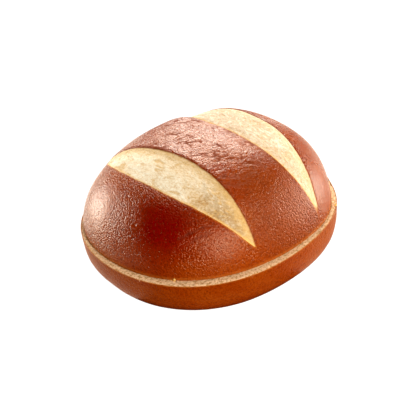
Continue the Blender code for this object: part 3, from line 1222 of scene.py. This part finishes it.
def on_outline(share, angle, height):
    x, y = raw_outline(angle)
    out = bulge(HEEL_BULGES, angle) * share ** BULGE_POWER
    return Vector((
        (x - OUTLINE_MIDDLE[0]) * OUTLINE_STRETCH[0] * share + out * math.cos(angle),
        (y - OUTLINE_MIDDLE[1]) * OUTLINE_STRETCH[1] * share + out * math.sin(angle),
        height,
    ))


def build_heel_crust():
    sole = [(HEEL_SOLE * i / SOLE_RINGS, 0.0) for i in range(SOLE_RINGS)]
    side = [heel_level(i / SIDE_RINGS) for i in range(SIDE_RINGS + 1)]
    cup = HEEL_HEIGHT - CUP_DEPTH
    inside = [(1 - HEEL_SKIN, HEEL_HEIGHT), (1 - HEEL_SKIN, cup), (0.5, cup), (0.0, cup)]
    mesh = spun(sole + side + inside, HEEL_STEPS)
    for v in mesh.verts:
        share, angle = polar(v.co)
        level = v.co.z / HEEL_HEIGHT
        uneven = 1 + wave(SOLE_WAVES, angle) * (1 - level) ** 1.5 if share > 0.5 else 1
        v.co = on_outline(share * uneven, angle, v.co.z)
        if v.co.z > HEEL_HEIGHT - AT_CUT:
            v.co.z -= CUT_WEAR * (1 + noise.noise(v.co / (1.5 * MM)))
    mesh.normal_update()
    bmesh.ops.recalc_face_normals(mesh, faces=mesh.faces)
    mesh.normal_update()
    for v in mesh.verts:
        swollen = HEEL_SWELL * noise.noise(v.co / (12 * MM))
        swollen += HEEL_GRAIN * noise.noise(v.co / (2 * MM))
        off_sole = fade(v.co.z, 0.3 * MM, 2 * MM)
        off_cut = 1 - fade(v.co.z, HEEL_HEIGHT - 0.5 * MM, HEEL_HEIGHT)
        v.co += v.normal * (swollen - SWELL_SPARE) * off_sole * off_cut
        v.co.z = min(v.co.z, HEEL_HEIGHT)
    finished_piece(mesh, "heel_crust", HEEL_CRUST, "heel")


build_heel_crust()

# %% [markdown]
# ## The heel's crumb
#
# The crumb fills the cup, and its rim is the pale ledge round the crown. A knife tears
# crumb rather than cutting it, so the ledge is rough and its edge is ragged. Two noises
# of different size do that, one upwards and one outwards.

# %% Build the heel's crumb
LEDGE_STEPS = 1300
LEDGE_RINGS = 24
LEDGE_WIDTH = 0.14        # how far in the ledge has fine rings, as a share of the outline
LEDGE_LAP = 0.0005        # the torn crumb laps over the thin crust
CUP_FILL = 1.45 * MM
TEAR_HEIGHT = 0.17 * MM
TEAR_SINK = 0.08 * MM
LEDGE_DROOP = 0.35 * MM
FRAY = 0.24 * MM


def build_heel_crumb():
    edge = 1 - HEEL_SKIN
    profile = [(0.0, HEEL_HEIGHT - CUP_FILL), (edge, HEEL_HEIGHT - CUP_FILL)]
    for i in range(LEDGE_RINGS + 1):
        profile.append((edge + LEDGE_LAP - LEDGE_WIDTH * i / LEDGE_RINGS, HEEL_HEIGHT))
    profile += [(0.6, HEEL_HEIGHT), (0.3, HEEL_HEIGHT), (0.0, HEEL_HEIGHT)]
    mesh = spun(profile, LEDGE_STEPS)
    for v in mesh.verts:
        share, angle = polar(v.co)
        v.co = on_outline(share, angle, v.co.z)
        if v.co.z > HEEL_HEIGHT - AT_CUT:
            torn = noise.noise(v.co / (1.6 * MM)) + 0.8 * noise.noise(v.co / (0.7 * MM))
            ragged = noise.noise(v.co / (1.3 * MM)) + 0.6 * noise.noise(v.co / (0.6 * MM))
            droop = LEDGE_DROOP * fade(share, edge - 0.022, edge + 0.004) ** 2
            v.co.z += TEAR_HEIGHT * torn - TEAR_SINK - droop
            frayed = FRAY * ragged * fade(share, edge - 0.02, edge)
            v.co += Vector((v.co.x, v.co.y, 0)).normalized() * frayed
    bmesh.ops.recalc_face_normals(mesh, faces=mesh.faces)
    finished_piece(mesh, "heel_crumb", CUT_CRUMB, "heel")


build_heel_crumb()

# %% [markdown]
# ## Loose crumbs
#
# The knife left a few toasted crumbs on the ledge. Each is a small ball pushed out of
# shape by noise. They are joined in one mesh, because they are one kind of thing.

# %% Build the loose crumbs
# For each crumb: its place on the ledge, and its size
LOOSE_CRUMBS = (
    (-45.9 * MM, -22.9 * MM, 0.75 * MM),
    (-45.9 * MM, -24.0 * MM, 0.60 * MM),
    (-45.5 * MM, -25.4 * MM, 0.80 * MM),
    (-46.4 * MM, -21.7 * MM, 0.45 * MM),
    (33.4 * MM, -41.3 * MM, 0.55 * MM),
)
LUMP_SIZE = 0.4 * MM


def build_loose_crumbs():
    mesh = bmesh.new()
    for x, y, size in LOOSE_CRUMBS:
        ball = bmesh.ops.create_icosphere(mesh, subdivisions=2, radius=size)
        for v in ball["verts"]:
            v.co *= 1 + 0.5 * noise.noise(v.co / LUMP_SIZE + Vector((x, y, 0)) / MM)
            v.co += Vector((x, y, HEEL_HEIGHT + 0.5 * size))
    bmesh.ops.recalc_face_normals(mesh, faces=mesh.faces)
    finished_piece(mesh, "loose_crumbs", TOASTED_CRUMB, "heel")


build_loose_crumbs()

# %% [markdown]
# ## Floor and backdrop
#
# The bun lies on a plain white floor before a plain white backdrop, as for a catalogue
# photograph. Both glow a little, which keeps them evenly pale without strong lights.
# Neither shows in the gloss, where it would veil the dark crust.

# %% The floor and the backdrop
FLOOR_SIZE = 4            # from the middle to a side, in metres
BACKDROP_RADIUS = 3.9
BACKDROP_HEIGHT = 6


def floor_finish():
    floor = Finish("floor")
    cloud = floor.noise(0.4, detail=1.0)
    colour = floor.mix(cloud, (0.13, 0.13, 0.13, 1), (0.15, 0.15, 0.15, 1))
    return floor.surface(
        colour, 0.9, Specular_IOR_Level=0.0, Emission_Color=(1, 1, 1, 1), Emission_Strength=0.84
    )


def glow_finish(name, colour, strength):
    """A finish that only gives light."""
    return Finish(name).surface(
        (0, 0, 0, 1), 1.0, Specular_IOR_Level=0.0, Emission_Color=colour,
        Emission_Strength=strength,
    )


def staged(mesh, name, material):
    data = bpy.data.meshes.new(name)
    mesh.to_mesh(data)
    mesh.free()
    data.materials.append(material)
    piece = bpy.data.objects.new(name, data)
    bpy.context.scene.collection.objects.link(piece)
    return piece


def build_stage():
    mesh = bmesh.new()
    bmesh.ops.create_grid(mesh, x_segments=1, y_segments=1, size=FLOOR_SIZE)
    floor = staged(mesh, "floor", floor_finish())
    floor.visible_glossy = False
    mesh = bmesh.new()
    bmesh.ops.create_cone(
        mesh, segments=48, radius1=BACKDROP_RADIUS, radius2=BACKDROP_RADIUS, depth=BACKDROP_HEIGHT
    )
    backdrop = staged(mesh, "backdrop", glow_finish("backdrop", (1, 1, 1, 1), 0.95))
    backdrop.visible_diffuse = False
    backdrop.visible_glossy = False
    backdrop.visible_shadow = False


build_stage()

# %% [markdown]
# ## The camera
#
# The camera looks down on the bun from one corner, through a long lens, and is tipped a
# little, as in the photograph. Its axes are worked out from three angles, and the lights
# use the same directions, so they keep their places beside the view.

# %% The camera
CAMERA_YAW = math.radians(41.305)
CAMERA_HEIGHT = math.radians(32.88)
CAMERA_ROLL = math.radians(6.93)
CAMERA_DISTANCE = 0.760
CAMERA_LENS = 154.3
AIM = Vector((0, 0, 15.0 * MM))

level_right = Vector((math.cos(CAMERA_YAW), -math.sin(CAMERA_YAW), 0))
level_ahead = Vector((math.sin(CAMERA_YAW), math.cos(CAMERA_YAW), 0))


def direction(azimuth, elevation):
    """A direction by its angle to the right of the camera's heading and above level."""
    a, e = math.radians(azimuth), math.radians(elevation)
    level = level_ahead * math.cos(a) + level_right * math.sin(a)
    return level * math.cos(e) + Vector((0, 0, math.sin(e)))


def add_camera():
    data = bpy.data.cameras.new("camera")
    data.lens = CAMERA_LENS
    data.sensor_width = 36
    camera = bpy.data.objects.new("camera", data)
    bpy.context.scene.collection.objects.link(camera)
    back = direction(180, math.degrees(CAMERA_HEIGHT))
    up = back.cross(level_right)
    side = level_right * math.cos(CAMERA_ROLL) - up * math.sin(CAMERA_ROLL)
    top = level_right * math.sin(CAMERA_ROLL) + up * math.cos(CAMERA_ROLL)
    turn = Matrix((side, top, back)).transposed().to_4x4()
    camera.matrix_world = Matrix.Translation(AIM + back * CAMERA_DISTANCE) @ turn
    bpy.context.scene.camera = camera
    print("the camera stands", round(camera.matrix_world.translation.z, 3), "m above the floor")


add_camera()

# %% [markdown]
# ## The lights
#
# A glossy thing is drawn by what it mirrors. The softbox behind gives the sheen on top,
# those at the sides give the highlights on the flanks, and one behind the camera gives
# the soft sheen in front. Two thin ones near the floor catch the heel.

# %% The lights
LIGHT_AIM = Vector((0, 0, 25 * MM))
# For each softbox: azimuth and elevation, distance, width and height, radiance, colour
SOFTBOXES = (
    ("top softbox", 0, 85, 0.90, 0.50, 0.50, 1.7, (1, 0.95, 0.84)),
    ("back softbox", 4, 26, 0.80, 0.46, 0.64, 9.9, (1, 0.96, 0.87)),
    ("left softbox", -55, 6, 0.70, 0.38, 0.22, 12.8, (1, 0.98, 0.90)),
    ("right softbox", 84, 12, 0.50, 0.14, 0.13, 20.0, (1, 0.95, 0.82)),
    ("far right softbox", 68, 0.5, 0.35, 0.10, 0.05, 14.0, (1, 1, 0.98)),
    ("low right softbox", 75, -3.5, 0.20, 0.12, 0.022, 10.0, (1, 0.96, 0.84)),
    ("low left softbox", -62, -3.5, 0.20, 0.12, 0.022, 8.0, (1, 0.94, 0.80)),
    ("front softbox", 158, 28, 0.90, 0.32, 0.30, 27.0, (1, 0.96, 0.86)),
)


def softbox(name, azimuth, elevation, distance, width, height, radiance, colour):
    """A soft light of a size and a brightness, turned to the bun."""
    data = bpy.data.lights.new(name, "AREA")
    data.shape = "RECTANGLE"
    data.size = width
    data.size_y = height
    data.energy = radiance * math.pi * width * height
    data.color = colour
    light = bpy.data.objects.new(name, data)
    out = direction(azimuth, elevation)
    light.location = LIGHT_AIM + out * distance
    light.visible_camera = False
    light.rotation_mode = "QUATERNION"
    light.rotation_quaternion = out.to_track_quat("Z", "Y")
    bpy.context.scene.collection.objects.link(light)
    print(f"{name}: {data.energy:.2f} W")


for box in SOFTBOXES:
    softbox(*box)

# %% [markdown]
# ## The cards
#
# White cards lie on the floor to the left and the right and show only in the gloss. So
# the sides get their pale veil, while the front keeps its deep colour.

# %% The cards
CARD_COLOUR = (1, 0.94, 0.80, 1)
# For each card: its reach to the right and ahead, height above the floor, strength
CARDS = (
    ("left card", (-0.90, -0.035), (-0.05, 0.90), 0.2 * MM, 1.35),
    ("right card", (0.035, 0.90), (-0.05, 0.20), 0.2 * MM, 1.15),
    ("bright card", (0.125, 0.25), (0.005, 0.065), 0.4 * MM, 3.0),
)


def floor_card(name, across, ahead, above, strength):
    mesh = bmesh.new()
    bmesh.ops.create_grid(mesh, x_segments=1, y_segments=1, size=1)
    for v in mesh.verts:
        right = across[0] if v.co.x < 0 else across[1]
        forward = ahead[0] if v.co.y < 0 else ahead[1]
        v.co = level_right * right + level_ahead * forward + Vector((0, 0, above))
    card = staged(mesh, name, glow_finish(name, CARD_COLOUR, strength))
    card.visible_camera = False
    card.visible_diffuse = False
    card.visible_shadow = False


for card in CARDS:
    floor_card(*card)

# %% [markdown]
# ## The room and the picture's contrast
#
# A dim white room fills the last shadows. The picture gets a little more contrast, and its
# darkest tones are drawn down to black, as in print.

# %% The room and the contrast
ROOM_LIGHT = 0.03
BLACK_LEVEL = 0.006


def light_room():
    world = bpy.data.worlds.new("studio")
    world.use_nodes = True
    background = world.node_tree.nodes["Background"]
    background.inputs["Color"].default_value = (1, 1, 1, 1)
    background.inputs["Strength"].default_value = ROOM_LIGHT
    bpy.context.scene.world = world


def set_contrast():
    view = bpy.context.scene.view_settings
    view.view_transform = "Standard"
    view.look = "Medium High Contrast"
    view.use_curve_mapping = True
    view.curve_mapping.black_level = (BLACK_LEVEL,) * 3
    print("look:", view.look)


light_room()
set_contrast()
